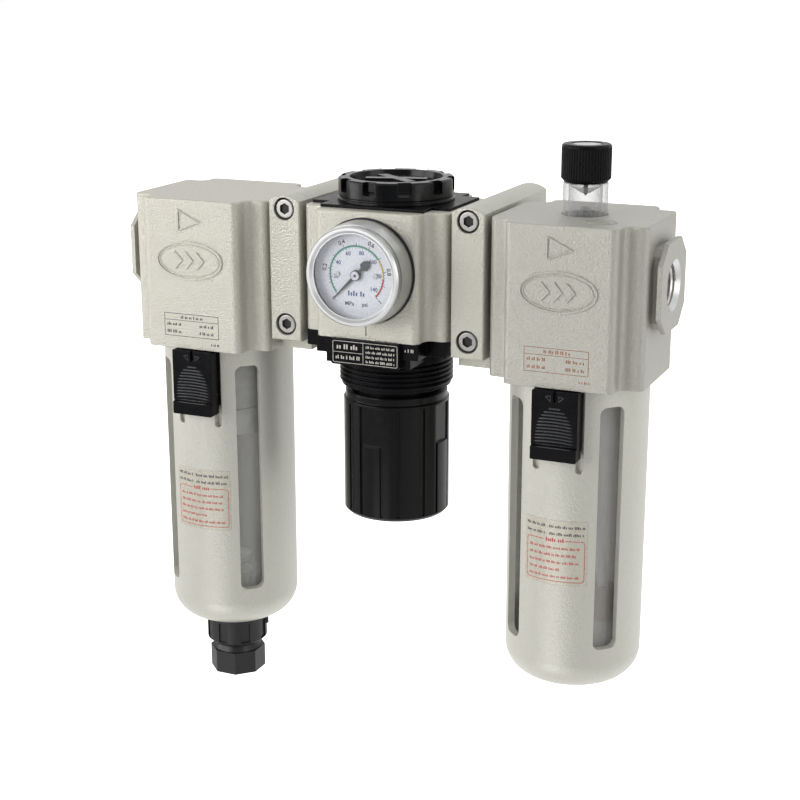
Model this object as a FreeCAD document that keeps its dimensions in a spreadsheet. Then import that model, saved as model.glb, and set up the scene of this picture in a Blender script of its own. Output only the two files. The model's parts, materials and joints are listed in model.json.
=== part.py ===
"""Filter regulator lubricator: three modules in a row, joined by two wall brackets with clamp plates.

Row frame: X runs along the port axis with the air flow, +Y points into the wall, +Z is up.
The origin is on the wall plane, level with the port axis, behind the regulator.
Lengths are in millimetres. Each module is drawn about its own vertical axis and then placed.
"""
import FreeCAD
import Part
import Sketcher
import math
import os
from types import SimpleNamespace

DIMENSIONS = {
    # the row
    "pitch": 80.0,
    "wall_reach": 51.0,
    # module bodies: a block with a proud pad front and back
    "block_half_width": 31.4,
    "block_half_depth": 21.5,
    "pad_half_width": 22.3,
    "pad_half_depth": 30.3,
    "body_top": 25.3,
    "body_foot": 37.8,
    "regulator_foot": 26.2,
    "corner_round": 2.8,
    "flute_round": 3.4,
    "edge_round": 0.8,
    # octagonal port flange and the neck behind it
    "flange_face": 36.3,
    "flange_thick": 1.9,
    "flange_half_depth": 18.0,
    "flange_half_height": 17.5,
    "flange_cut_depth": 8.3,
    "flange_cut_height": 7.4,
    "neck_half_depth": 12.8,
    "neck_half_height": 15.6,
    "neck_cut": 2.7,
    "port_radius": 8.33,
    "port_depth": 14.0,
    "port_mouth_radius": 10.2,
    "bore_radius": 7.4,
    # bowl socket in the body
    "socket_radius": 25.6,
    "lug_groove_radius": 27.1,
    "lug_groove_top": 27.8,
    "lug_groove_foot": 33.0,
    "lead_in_top": 36.2,
    "socket_top": 23.8,
    "seal_bore_radius": 22.3,
    "socket_ceiling": 10.0,
    # bowl guard
    "guard_radius": 27.9,
    "guard_wall": 3.0,
    "guard_top": 38.05,
    "guard_foot": 166.0,
    "guard_round": 12.5,
    "guard_neck_radius": 25.3,
    "guard_neck_top": 27.7,
    "guard_neck_bore": 23.0,
    "window_half_width": 5.2,
    "window_top": 45.5,
    "window_foot": 146.5,
    "window_round": 3.0,
    "lug_reach": 26.6,
    # clear bowl
    "bowl_radius": 22.7,
    "bowl_wall": 2.2,
    "bowl_foot": 160.0,
    "bowl_round": 11.0,
    "bowl_neck_radius": 22.0,
    "bowl_flange_radius": 25.3,
    "bowl_flange_top": 24.1,
    "bowl_flange_foot": 27.6,
    "bowl_top": 11.0,
    "seal_height": 16.7,
    "seal_ring_radius": 21.2,
    "seal_cord_radius": 1.05,
    # latch button on the guard
    "latch_half_width": 9.3,
    "latch_top": 38.3,
    "latch_foot": 66.0,
    "latch_face": 32.0,
    "latch_key_half": 3.0,
    "latch_leg_inner": 7.6,
    "guide_inner": 7.3,
    "guide_outer": 10.2,
    "guide_foot": 72.0,
    # clamp and bracket
    "clamp_half_width": 7.0,
    "clamp_shoulder": 26.1,
    "clamp_peak": 28.4,
    "clamp_foot": 31.9,
    "clamp_face": 22.3,
    "clamp_seam": 13.0,
    "bracket_foot": 37.2,
    "web_half": 3.65,
    "foot_plate_half": 24.0,
    "foot_plate_thick": 7.0,
    "wall_hole_offset": 15.0,
    "wall_hole_radius": 2.75,
    "screw_high": 22.85,
    "screw_low": 25.0,
    "screw_radius": 2.5,
    "screw_head_radius": 3.9,
    "screw_recess_radius": 4.65,
    "screw_recess_depth": 5.5,
    # regulator
    "cap_radius": 23.6,
    "cap_top": 35.7,
    "cap_plug_radius": 16.9,
    "seat_radius": 6.5,
    "thread_radius": 23.7,
    "thread_depth": 0.8,
    "thread_pitch": 2.0,
    "thread_top": 37.6,
    "thread_foot": 50.0,
    "knob_radius": 22.2,
    "knob_crown_radius": 21.4,
    "knob_top": 52.4,
    "knob_foot": 105.5,
    "adjusting_radius": 4.0,
    "spring_nut_top": 58.0,
    # gauge
    "gauge_height": 1.8,
    "bezel_radius": 19.8,
    "bezel_face": 43.75,
    "case_radius": 20.7,
    # lubricator dome
    "dome_radius": 8.8,
    "dome_top": 37.5,
    "dome_cap_radius": 9.7,
    "dome_cap_top": 52.5,
    # drain
    "drain_collar_radius": 13.5,
    "drain_collar_foot": 181.0,
    "drain_knob_radius": 12.4,
    "drain_knob_foot": 194.3,
}

SUBPARTS = []
TOP = "XY_Plane"      # drawn as (x, y), extruded towards +Z
FRONT = "XZ_Plane"    # drawn as (x, z), extruded towards -Y, the front
SIDE = "YZ_Plane"     # drawn as (y, z), extruded towards +X
SIN45 = math.sqrt(0.5)
VANE_PIVOT = 5.6      # height of the flow vane's pin in the air way
TUBE_TILT = 5.6       # lean of the oil tube towards the outlet side, in degrees


class Size:
    """A length that carries its value and the sheet expression that gives it."""

    def __init__(self, value, text):
        self.value = value
        self.text = text

    def __add__(self, other):
        return Size(self.value + number(other), f"({self.text} + {words(other)})")

    def __radd__(self, other):
        return Size(number(other) + self.value, f"({words(other)} + {self.text})")

    def __sub__(self, other):
        return Size(self.value - number(other), f"({self.text} - {words(other)})")

    def __rsub__(self, other):
        return Size(number(other) - self.value, f"({words(other)} - {self.text})")

    def __mul__(self, other):
        return Size(self.value * number(other), f"({self.text} * {words(other)})")

    def __rmul__(self, other):
        return self * other

    def __neg__(self):
        return Size(-self.value, f"(-1 * {self.text})")


def number(size):
    """The plain value of a Size or a number."""
    return size.value if isinstance(size, Size) else float(size)


def words(size):
    """The expression text of a Size or a number."""
    return size.text if isinstance(size, Size) else f"({float(size):.6f})"


def make_sheet():
    """Write the driving dimensions to the spreadsheet and hand them back by name."""
    sheet = doc.addObject("Spreadsheet::Sheet", "Dims")
    for row, (alias, value) in enumerate(DIMENSIONS.items(), start=1):
        sheet.set(f"A{row}", alias)
        sheet.set(f"B{row}", str(value))
        sheet.setAlias(f"B{row}", alias)
    doc.recompute()
    return SimpleNamespace(**{a: Size(v, f"Dims.{a}") for a, v in DIMENSIONS.items()})


def place(thing, at):
    """Tie an object's position to the sheet: `at` is (x, y, z)."""
    for axis, size in zip("xyz", at):
        thing.setExpression(f"Placement.Base.{axis}", words(size))


def module_at(steps):
    """Where a module's vertical axis stands: `steps` pitches along the row."""
    return (D.pitch * steps, -D.wall_reach, 0)


def new_body(label, at=(0, 0, 0)):
    """Start a sub-part."""
    body = doc.addObject("PartDesign::Body", label)
    body.Label = label
    body.AllowCompound = True
    place(body, at)
    SUBPARTS.append(body)
    return body


def draw(body, plane, loops, circles, offset=0, turned=0):
    """A sketch on one of the body's own planes, every point and radius tied to the sheet.

    A loop is a list of (u, v) points, or of (u, v, (mid_u, mid_v), radius) where an arc starts.
    """
    flat = body.newObject("Sketcher::SketchObject", body.Label + "_sketch")
    support = [f for f in body.Origin.OriginFeatures if f.Role == plane][0]
    flat.AttachmentSupport = [(support, "")]
    flat.MapMode = "FlatFace"
    if turned:
        up = FreeCAD.Vector(0, 1, 0)
        flat.AttachmentOffset = FreeCAD.Placement(FreeCAD.Vector(), FreeCAD.Rotation(up, turned))
    flat.setExpression("AttachmentOffset.Base.z", words(offset))
    ties = []
    for loop in loops:
        draw_loop(flat, loop, ties)
    for u, v, radius in circles:
        centre = FreeCAD.Vector(number(u), number(v), 0)
        edge = flat.addGeometry(Part.Circle(centre, FreeCAD.Vector(0, 0, 1), number(radius)))
        ties += [(Sketcher.Constraint("Radius", edge, number(radius)), radius)]
        ties += point_ties(edge, 3, u, v)
    first = flat.ConstraintCount
    flat.addConstraint([tie for tie, _ in ties])
    for index, (_, size) in enumerate(ties, start=first):
        if isinstance(size, Size):
            flat.setExpression(f"Constraints[{index}]", size.text)
    return flat


def point_ties(edge, end, u, v):
    """Both coordinates of a sketch point, measured from the origin."""
    across = Sketcher.Constraint("DistanceX", -1, 1, edge, end, number(u))
    along = Sketcher.Constraint("DistanceY", -1, 1, edge, end, number(v))
    return [(across, u), (along, v)]


def draw_loop(flat, loop, ties):
    """One closed run of lines and arcs."""
    corners = [FreeCAD.Vector(number(c[0]), number(c[1]), 0) for c in loop]
    ends = []
    for index, corner in enumerate(loop):
        start = corners[index]
        stop = corners[(index + 1) % len(loop)]
        if len(corner) == 2:
            edge = flat.addGeometry(Part.LineSegment(start, stop))
            ends.append((edge, 1, 2))
            continue
        middle = FreeCAD.Vector(number(corner[2][0]), number(corner[2][1]), 0)
        clockwise = (middle - start).cross(stop - middle).z < 0
        arc = Part.Arc(stop, middle, start) if clockwise else Part.Arc(start, middle, stop)
        edge = flat.addGeometry(arc)
        ends.append((edge, 2, 1) if clockwise else (edge, 1, 2))
        ties.append((Sketcher.Constraint("Radius", edge, number(corner[3])), corner[3]))
    for index, (edge, first, last) in enumerate(ends):
        following, entry, _ = ends[(index + 1) % len(ends)]
        ties.append((Sketcher.Constraint("Coincident", edge, last, following, entry), 0))
        ties.extend(point_ties(edge, first, loop[index][0], loop[index][1]))


def extrude(kind, body, plane, loops, circles, start, end, turned):
    """A Pad or a Pocket from `start` to `end` along the plane's own direction."""
    flat = draw(body, plane, loops, circles, start, turned)
    feature = body.newObject("PartDesign::" + kind, body.Label + "_" + kind.lower())
    feature.Profile = flat
    feature.setExpression("Length", words(end - start))
    feature.Reversed = kind == "Pocket"
    return feature


def add(body, plane, loops=(), circles=(), start=0, end=0, turned=0):
    """Add a prism."""
    feature = extrude("Pad", body, plane, loops, circles, start, end, turned)
    doc.recompute()
    return feature


def cut(body, plane, loops=(), circles=(), start=0, end=0, turned=0):
    """Cut a prism, and make sure that it took material away."""
    before = body.Shape.Volume
    feature = extrude("Pocket", body, plane, loops, circles, start, end, turned)
    doc.recompute()
    if body.Shape.Volume > before - 0.01:
        raise RuntimeError(feature.Label + " cuts nothing")
    return feature


def turn(body, profile, plane=FRONT, axis="V_Axis"):
    """Add a solid of revolution. The profile is drawn in the plane, about one of its axes."""
    feature = body.newObject("PartDesign::Revolution", body.Label + "_turned")
    feature.Profile = draw(body, plane, [profile], ())
    feature.ReferenceAxis = (feature.Profile[0], [axis])
    feature.Angle = 360
    doc.recompute()
    return feature


def bore(body, profile, plane=FRONT, axis="V_Axis"):
    """Cut a solid of revolution, and make sure that it took material away."""
    before = body.Shape.Volume
    feature = body.newObject("PartDesign::Groove", body.Label + "_bored")
    feature.Profile = draw(body, plane, [profile], ())
    feature.ReferenceAxis = (feature.Profile[0], [axis])
    feature.Angle = 360
    doc.recompute()
    if body.Shape.Volume > before - 0.01:
        raise RuntimeError(feature.Label + " cuts nothing")
    return feature


def repeat_round(body, feature, count, axis_role="Z_Axis"):
    """Repeat a feature evenly about one of the body's axes."""
    pattern = body.newObject("PartDesign::PolarPattern", body.Label + "_ring")
    pattern.Originals = [feature]
    axis = [f for f in body.Origin.OriginFeatures if f.Role == axis_role][0]
    pattern.Axis = (axis, [""])
    pattern.Angle = 360
    pattern.Occurrences = count
    body.Tip = pattern
    doc.recompute()
    return pattern


def soften(body, radius, chosen):
    """Fillet the edges that `chosen` accepts, in the body's own coordinates."""
    base = body.Tip
    names = [f"Edge{i}" for i, edge in enumerate(base.Shape.Edges, start=1) if chosen(edge)]
    feature = body.newObject("PartDesign::Fillet", body.Label + "_fillet")
    feature.Base = (base, names)
    feature.setExpression("Radius", words(radius))
    body.Tip = feature
    doc.recompute()
    return feature


def is_ring(edge, radius, height):
    """True for a full circle of this radius about the body's axis, at this local height."""
    centre = getattr(edge.Curve, "Center", None)
    if centre is None or not edge.isClosed():
        return False
    return abs(edge.Curve.Radius - number(radius)) < 0.02 and abs(centre.z - number(height)) < 0.02


def polar(reach, degrees):
    """A sketch point given by its distance from the axis and its direction."""
    return (reach * math.cos(math.radians(degrees)), reach * math.sin(math.radians(degrees)))


def rectangle(u0, v0, u1, v1):
    """A loop with square corners."""
    return [(u0, v0), (u1, v0), (u1, v1), (u0, v1)]


def soft_rectangle(u0, v0, u1, v1, radius):
    """A loop with rounded corners."""
    out = radius * (1 - SIN45)
    return [(u0 + radius, v0), (u1 - radius, v0, (u1 - out, v0 + out), radius),
            (u1, v0 + radius), (u1, v1 - radius, (u1 - out, v1 - out), radius),
            (u1 - radius, v1), (u0 + radius, v1, (u0 + out, v1 - out), radius),
            (u0, v1 - radius), (u0, v0 + radius, (u0 + out, v0 + out), radius)]


def chamfered_square(half_u, half_v, cut_u, cut_v):
    """An octagon: a rectangle with its corners cut."""
    return [(half_u, -half_v + cut_v), (half_u, half_v - cut_v),
            (half_u - cut_u, half_v), (cut_u - half_u, half_v),
            (-half_u, half_v - cut_v), (-half_u, cut_v - half_v),
            (cut_u - half_u, -half_v), (half_u - cut_u, -half_v)]


def stepped_outline(block_x, block_y, pad_x, pad_y):
    """The plan of a body: a block crossed by a deeper, narrower pad."""
    return [(pad_x, -pad_y), (pad_x, -block_y), (block_x, -block_y), (block_x, block_y),
            (pad_x, block_y), (pad_x, pad_y), (-pad_x, pad_y), (-pad_x, block_y),
            (-block_x, block_y), (-block_x, -block_y), (-pad_x, -block_y), (-pad_x, -pad_y)]


def ring_seal(label, at, ring_radius, cord_radius, about_x=False):
    """An O-ring."""
    seal = doc.addObject("Part::Torus", label)
    seal.Label = label
    seal.setExpression("Radius1", words(ring_radius))
    seal.setExpression("Radius2", words(cord_radius))
    if about_x:
        seal.Placement.Rotation = FreeCAD.Rotation(FreeCAD.Vector(0, 1, 0), 90)
    place(seal, at)
    return seal


def coil_spring(label, at, mean_radius, wire_radius, foot, top, turns):
    """A compression spring about the vertical through `at`, between two heights."""
    body = new_body(label, at)
    coil = body.newObject("PartDesign::AdditiveHelix", label + "_coil")
    coil.Profile = draw(body, FRONT, (), [(mean_radius, foot + wire_radius, wire_radius)])
    coil.ReferenceAxis = (coil.Profile[0], ["V_Axis"])
    coil.Mode = "height-turns-angle"
    coil.setExpression("Height", words(top - foot - 2 * wire_radius))
    coil.Turns = turns
    doc.recompute()
    return body


# ---------------------------------------------------------------- module bodies

def make_body(label, steps, foot, threaded_side=0):
    """The cast body shared by the modules, solid, with its flanges and straight port mouths."""
    body = new_body(label, module_at(steps))
    outline = stepped_outline(D.block_half_width, D.block_half_depth, D.pad_half_width, D.pad_half_depth)
    add(body, TOP, [outline], start=-foot, end=D.body_top)

    def upright(edge):
        return edge.BoundBox.ZLength > 1 and edge.BoundBox.XLength + edge.BoundBox.YLength < 0.01

    def at_corner(edge, width, depth):
        box = edge.BoundBox
        return (abs(abs(box.XMin) - number(width)) < 0.01) and (abs(abs(box.YMin) - number(depth)) < 0.01)

    def is_flute(edge):
        return upright(edge) and at_corner(edge, D.pad_half_width, D.block_half_depth)

    soften(body, D.flute_round, is_flute)
    soften(body, D.corner_round, lambda e: upright(e) and (
        at_corner(e, D.pad_half_width, D.pad_half_depth)
        or at_corner(e, D.block_half_width, D.block_half_depth)))
    soften(body, D.edge_round, lambda e: abs(e.BoundBox.ZMin - number(D.body_top)) < 0.01
           and e.BoundBox.ZLength < 0.01)
    neck = chamfered_square(D.neck_half_depth, D.neck_half_height, D.neck_cut, D.neck_cut)
    flange = chamfered_square(D.flange_half_depth, D.flange_half_height,
                              D.flange_cut_depth, D.flange_cut_height)
    inner = D.flange_face - D.flange_thick
    add(body, SIDE, [neck], start=D.block_half_width - 1, end=inner)
    add(body, SIDE, [flange], start=inner, end=D.flange_face)
    add(body, SIDE, [neck], start=-inner, end=-D.block_half_width + 1)
    add(body, SIDE, [flange], start=-D.flange_face, end=-inner)
    if threaded_side:
        mouth = D.flange_face * threaded_side
        mouth_foot = (D.flange_face - (D.port_mouth_radius - D.port_radius)) * threaded_side
        thread_end = (D.flange_face - D.port_depth) * threaded_side
        bore(body, [(thread_end, 0), (thread_end, D.port_radius), (mouth_foot, D.port_radius),
                    (mouth, D.port_mouth_radius), (mouth, 0)], axis="H_Axis")
    return body


def cut_bowl_socket(body, lug_slots=4):
    """The stepped socket that takes the bowl and the guard's bayonet."""
    below = -D.body_foot - 1
    bore(body, [(0, below), (D.lug_groove_radius, below), (D.lug_groove_radius, -D.lead_in_top),
                (D.socket_radius, -D.lead_in_top), (D.socket_radius, -D.lug_groove_foot),
                (D.lug_groove_radius, -D.lug_groove_foot), (D.lug_groove_radius, -D.lug_groove_top),
                (D.socket_radius, -D.lug_groove_top), (D.socket_radius, -D.socket_top),
                (D.seal_bore_radius, -D.socket_top), (D.seal_bore_radius, -D.socket_ceiling),
                (0, -D.socket_ceiling)])
    slot = cut(body, TOP, [rectangle(20, -4.5, D.lug_groove_radius - 0.4, 4.5)],
               start=-D.body_foot, end=-D.lug_groove_foot)
    repeat_round(body, slot, lug_slots)


def make_filter_body():
    """Air comes in from -X, drops around the deflector and leaves up the middle towards +X."""
    body = make_body("filter_body", -1, D.body_foot, threaded_side=-1)
    cut_bowl_socket(body)
    inlet_end = -11.0
    cut(body, SIDE, circles=[(0, 0, D.bore_radius)], start=-D.flange_face + D.port_depth - 1, end=inlet_end)
    cut(body, TOP, [rectangle(-20, -6, inlet_end, 6)], start=-D.socket_ceiling - 1, end=0)
    cut(body, SIDE, circles=[(0, 0, D.bore_radius)], start=-6.4, end=D.flange_face + 1)
    cut(body, TOP, circles=[(0, 0, 6.4)], start=-D.socket_ceiling - 1, end=0)
    return body


def make_lubricator_body():
    """A straight air way under the sight dome's socket."""
    body = make_body("lubricator_body", 1, D.body_foot, threaded_side=1)
    cut_bowl_socket(body)
    cut(body, SIDE, circles=[(0, 0, D.bore_radius)], start=-D.flange_face - 1,
        end=D.flange_face - D.port_depth + 1)
    cut(body, TOP, circles=[(0, 0, D.dome_radius + 0.3)], start=12.5, end=D.body_top + 1)
    cut(body, TOP, circles=[(0, 0, 1.2)], start=5, end=13)
    cut(body, FRONT, circles=[(0, VANE_PIVOT, 0.95)], start=-7.5, end=7.5)
    cut(body, TOP, circles=[(0, 14, 1.6)], start=-D.socket_ceiling - 1, end=20)
    cut(body, FRONT, circles=[(0, 18.5, 1.6)], start=-14, end=-7)
    return body


def make_regulator_body():
    """Inlet chamber above the valve seat, outlet and diaphragm chambers below it."""
    body = make_body("regulator_body", 0, D.regulator_foot)
    cut(body, SIDE, circles=[(0, 0, D.bore_radius)], start=-D.flange_face - 1, end=-14)
    cut(body, SIDE, circles=[(0, 0, D.bore_radius)], start=14, end=D.flange_face + 1)
    seat = 3.0
    bore(body, [(0, -D.regulator_foot - 1), (19.5, -D.regulator_foot - 1), (19.5, -20), (11, -17), (11, -4),
                (D.seat_radius, -4), (D.seat_radius, seat), (12, seat), (12, 12),
                (D.cap_plug_radius + 0.3, 12), (D.cap_plug_radius + 0.3, D.body_top + 1),
                (0, D.body_top + 1)])
    cut(body, TOP, [rectangle(-20, -6, -10, 6)], start=-2, end=9)
    cut(body, TOP, [rectangle(9, -6, 20, 6)], start=-12, end=2)
    cut(body, FRONT, circles=[(0, D.gauge_height, 5)], start=17, end=D.pad_half_depth + 1)
    cut(body, TOP, circles=[(0, -17.9, 1)], start=-21, end=D.gauge_height)
    return body


# ---------------------------------------------------------------- bowls, guards and latches

def make_guard(label, steps, drain_hole):
    """Metal guard: bayonet neck, four windows, and a channel for the latch at the front."""
    body = new_body(label, module_at(steps))
    bowl_side = D.guard_radius - D.guard_wall
    turn(body, [(D.guard_neck_bore, -D.guard_neck_top), (D.guard_neck_radius, -D.guard_neck_top),
                (D.guard_neck_radius, -D.guard_top), (D.guard_radius, -D.guard_top),
                (D.guard_radius, -D.guard_foot), (drain_hole, -D.guard_foot),
                (drain_hole, -D.guard_foot + D.guard_wall), (bowl_side, -D.guard_foot + D.guard_wall),
                (bowl_side, -D.guard_top - 4), (D.guard_neck_bore, -D.guard_top - 2)])
    soften(body, D.guard_round, lambda e: is_ring(e, D.guard_radius, -D.guard_foot))
    soften(body, D.guard_round - D.guard_wall,
           lambda e: is_ring(e, bowl_side, -D.guard_foot + D.guard_wall))
    soften(body, 0.5, lambda e: is_ring(e, D.guard_radius, -D.guard_top))
    window = cut(body, SIDE, [soft_rectangle(-D.window_half_width, -D.window_foot, D.window_half_width,
                                             -D.window_top, D.window_round)],
                 start=0, end=D.guard_radius + 1, turned=45)
    repeat_round(body, window, 4)
    lug = add(body, TOP, [[(17, 17), (18.2, 15.4), (D.lug_reach * SIN45 + 2.4, D.lug_reach * SIN45 - 2.4),
                           (D.lug_reach * SIN45 - 2.4, D.lug_reach * SIN45 + 2.4), (15.4, 18.2)]],
              start=-32.7, end=-28.3)
    repeat_round(body, lug, 4)
    cut(body, FRONT, [rectangle(-D.latch_key_half - 0.2, -56.5, D.latch_key_half + 0.2, -D.guard_top + 1)],
        start=25.5, end=D.guard_radius + 1)
    guide_floor = 24.4
    for inner, outer in ((D.guide_inner, D.guide_outer), (-D.guide_outer, -D.guide_inner)):
        cut(body, FRONT, [soft_rectangle(inner, -D.guide_foot, outer, -D.guard_top - 0.4, 1.3)],
            start=guide_floor, end=D.guard_radius + 1)
    return body


def make_bowl(label, steps, drain_hole):
    """Clear bowl with a seal groove, a flange that rests on the guard's neck and a rounded bottom."""
    body = new_body(label, module_at(steps))
    inner = D.bowl_radius - D.bowl_wall
    groove = D.seal_ring_radius - D.seal_cord_radius - 0.05
    hole = [(drain_hole, -D.bowl_foot), (drain_hole, -D.bowl_foot + 2.4)]
    turn(body, [(D.bowl_flange_radius - 6, -D.bowl_top), (D.bowl_neck_radius, -D.bowl_top),
                (D.bowl_neck_radius, -D.seal_height + 1.5), (groove, -D.seal_height + 1.5),
                (groove, -D.seal_height - 1.5), (D.bowl_neck_radius, -D.seal_height - 1.5),
                (D.bowl_neck_radius, -D.bowl_flange_top), (D.bowl_flange_radius, -D.bowl_flange_top),
                (D.bowl_flange_radius, -D.bowl_flange_foot), (D.bowl_radius, -D.bowl_flange_foot),
                (D.bowl_radius, -D.bowl_foot)] + hole
         + [(inner, -D.bowl_foot + 2.4), (inner, -D.bowl_flange_foot),
            (D.bowl_flange_radius - 6, -D.bowl_flange_top)])
    soften(body, D.bowl_round, lambda e: is_ring(e, D.bowl_radius, -D.bowl_foot))
    soften(body, D.bowl_round - D.bowl_wall, lambda e: is_ring(e, inner, -D.bowl_foot + 2.4))
    return body


def make_latch(side, steps):
    """Latch button: legs in the guard's guide slots, a notched face and a thumb ledge, on a small spring."""
    body = new_body(side + "_latch", module_at(steps))
    width = D.latch_half_width
    add(body, FRONT, [soft_rectangle(-width, -D.latch_foot, width, -D.latch_top, 0.6)],
        start=24, end=D.latch_face)
    bore(body, [(0, -80), (D.guard_radius + 0.25, -80), (D.guard_radius + 0.25, -30), (0, -30)])
    leg_foot = -62.5
    for inner, outer in ((D.latch_leg_inner, width), (-width, -D.latch_leg_inner)):
        add(body, FRONT, [rectangle(inner, leg_foot, outer, -D.latch_top - 1)], start=24.8, end=28.6)
    add(body, FRONT, [soft_rectangle(-width, -D.latch_foot, width, -60.6, 0.5)],
        start=D.latch_face - 1, end=D.latch_face + 0.9)
    cut(body, FRONT, [rectangle(-width - 1, -60.5, width + 1, -60.0)],
        start=D.latch_face - 0.5, end=D.latch_face + 2)
    cut(body, FRONT, [[(-0.6, -D.latch_top + 1), (-0.6, -42), (0, -43.2), (0.6, -42),
                       (0.6, -D.latch_top + 1)]], start=D.latch_face - 1.2, end=D.latch_face + 1)
    add(body, FRONT, [rectangle(-D.latch_key_half, -50.5, D.latch_key_half, -D.latch_top)],
        start=25.8, end=30)
    add(body, FRONT, [rectangle(-D.latch_key_half, -D.latch_top - 2, D.latch_key_half, -36.7)],
        start=25.8, end=26.8)
    spring_at = (D.pitch * steps, -D.wall_reach - 26.8, 0)
    coil_spring(side + "_latch_spring", spring_at, 0.85, 0.2, -56.3, -50.7, 5)
    return body


def make_bowl_seal(side, steps):
    """O-ring in the bowl's groove."""
    x, y, _ = module_at(steps)
    SUBPARTS.append(ring_seal(side + "_bowl_seal", (x, y, -D.seal_height), D.seal_ring_radius,
                              D.seal_cord_radius))


# ---------------------------------------------------------------- filter internals

def make_filter_internals():
    """Deflector, element and baffle hang from the body, above the drain valve in the bowl's foot."""
    at = module_at(-1)
    deflector = new_body("filter_deflector", at)
    turn(deflector, [(4.2, -3), (6.2, -3), (6.2, -20), (19.2, -20), (19.2, -24), (4.2, -24)])
    vane = add(deflector, SIDE, [[(-3.2, -20.5), (-1.8, -20.5), (3.2, -12), (1.8, -12)]], start=14, end=19)
    repeat_round(deflector, vane, 12)
    add(deflector, TOP, [rectangle(-4.5, -1.2, 4.5, 1.2)], start=-18, end=-14)

    element = new_body("filter_element", at)
    turn(element, [(9, -24.3), (14.5, -24.3), (14.5, -68), (9, -68)])

    baffle = new_body("filter_baffle", at)
    turn(baffle, [(0, -18.1), (2, -18.1), (2, -68.3), (15.5, -68.3), (16.8, -79), (15.2, -79), (14, -71.5),
                  (0, -73)])

    housing = new_body("filter_drain_housing", at)
    turn(housing, [(2.2, -147.2), (7.6, -147.2), (7.6, -157.2), (5.1, -157.2), (5.1, -153), (6.2, -153),
                   (6.2, -149), (2.2, -149)])
    slot = cut(housing, SIDE, [rectangle(-1.2, -152.5, 1.2, -149.5)], start=5, end=9)
    repeat_round(housing, slot, 6)

    valve = new_body("filter_drain_valve", at)
    turn(valve, [(2.4, -138.6), (5.8, -138.6), (7.4, -139.6), (7.2, -141.5), (3.6, -146), (2.4, -146)])

    stem = new_body("filter_drain_stem", at)
    turn(stem, [(0, -133.5), (1.8, -133.5), (1.8, -180), (0, -180)])


def make_drain():
    """Collar screwed through the bowl, with grip recesses, and the turning drain knob under it."""
    at = module_at(-1)
    collar = new_body("filter_drain_collar", at)
    outer = D.drain_collar_radius
    turn(collar, [(2.1, -153.4), (4.9, -153.4), (4.9, -166.3), (outer - 0.6, -166.3), (outer, -166.9),
                  (outer, -D.drain_collar_foot + 2.2), (outer - 2.4, -D.drain_collar_foot),
                  (6.3, -D.drain_collar_foot), (6.3, -174), (2.1, -174)])
    recess = cut(collar, TOP, [rectangle(outer - 0.9, -2.1, outer + 1, 2.1)],
                 start=-D.drain_collar_foot + 2.4, end=-169.5)
    repeat_round(collar, recess, 8)
    add(collar, TOP, circles=[(outer - 0.4, 3.9, 0.9)], start=-173, end=-170.4)

    knob = new_body("filter_drain_knob", at)
    across = D.drain_knob_radius * math.cos(math.pi / 8)
    corner = across * (1 - math.tan(math.pi / 8))
    turn(knob, [(2.5, -180.4), (6.0, -180.4), (6.0, -181.4), (9.6, -181.4), (10.9, -184.5), (2.5, -184.5)])
    add(knob, TOP, [chamfered_square(across, across, corner, corner)], start=-D.drain_knob_foot, end=-184)
    cut(knob, TOP, circles=[(0, 0, 2.5)], start=-D.drain_knob_foot - 1, end=-180)


# ---------------------------------------------------------------- lubricator internals

def make_lubricator_internals():
    """Oil way: pick-up filter, slanted tube, holder, drip nozzle; and the flow vane in the air way."""
    at = module_at(1)
    holder = new_body("lubricator_tube_holder", at)
    turn(holder, [(0, -10.3), (18.5, -10.3), (18.5, -14), (6, -16), (6, -24), (0, -24)])
    cut(holder, TOP, circles=[(0, 0, 2.9)], start=-25, end=-13)
    cut(holder, TOP, circles=[(0, 14, 1.6)], start=-16, end=-9)

    tube = new_body("lubricator_pickup_tube", at)
    tube.Placement.Rotation = FreeCAD.Rotation(FreeCAD.Vector(0, 1, 0), -TUBE_TILT)
    turn(tube, [(1.5, -24.6), (2.4, -24.6), (2.4, -134), (1.5, -134)])

    pickup = new_body("lubricator_pickup_filter", at)
    pickup.Placement.Rotation = FreeCAD.Rotation(FreeCAD.Vector(0, 1, 0), -TUBE_TILT)
    turn(pickup, [(2.5, -128), (5.2, -128), (5.2, -142), (0, -142), (0, -134.4), (2.5, -134.4)])

    vane = new_body("lubricator_flow_vane", at)
    add(vane, SIDE, circles=[(0, -0.9, 5.9)], start=-0.4, end=0.4)
    add(vane, FRONT, circles=[(0, VANE_PIVOT, 0.9)], start=-7.2, end=7.2)

    nozzle = new_body("lubricator_drip_nozzle", at)
    turn(nozzle, [(1.2, 12.7), (6.2, 12.7), (6.2, 15.5), (2.6, 16.5), (2.6, 27), (1.7, 28), (1.2, 28)])


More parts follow.
